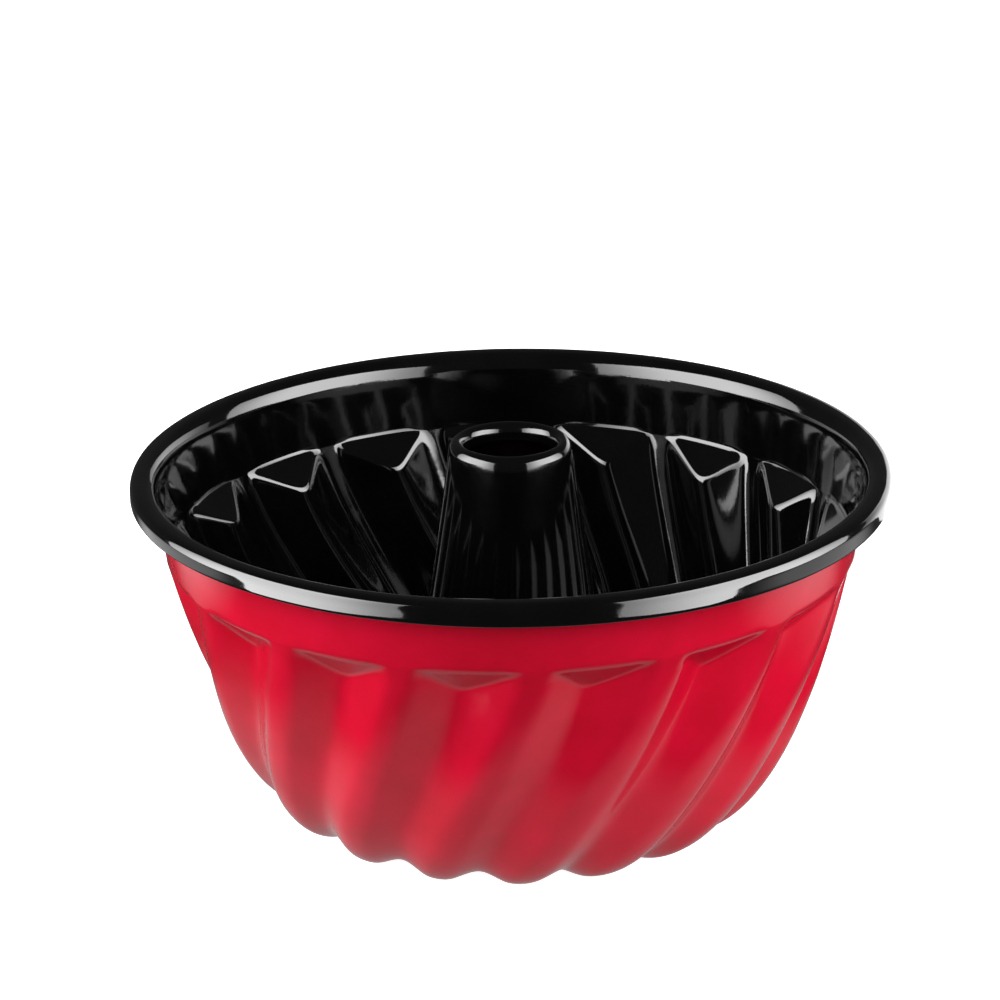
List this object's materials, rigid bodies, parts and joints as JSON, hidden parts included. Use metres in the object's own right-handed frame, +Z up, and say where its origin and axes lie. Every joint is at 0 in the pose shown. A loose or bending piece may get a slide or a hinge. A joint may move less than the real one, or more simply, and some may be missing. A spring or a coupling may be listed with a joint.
{
  "type": "bundt pan",
  "caption": "Round fluted cake pan of enamelled sheet steel, red outside and black inside, with a central conical chimney and a rolled rim.",
  "frame": {"origin": "on the pan's axis, on the plane that the pan rests on", "axes": "+Z up along the pan's axis, out of its open top; the grooves repeat round it, with the first one's upper end 9 degrees from +X"},
  "size_m": [0.22, 0.22, 0.1126],
  "materials": {
    "enamel_red": "glossy red vitreous enamel on steel; the bowl's food side is glossy black enamel",
    "enamel_black": "glossy black vitreous enamel on steel",
    "wire_steel": "plain drawn steel wire, hidden inside the rolled rim"
  },
  "bodies": {
    "root": {"mould_body": "enamel_red", "centre_chimney": "enamel_black", "rim_bead": "enamel_black", "rim_wire": "wire_steel"}
  },
  "joints": []
}
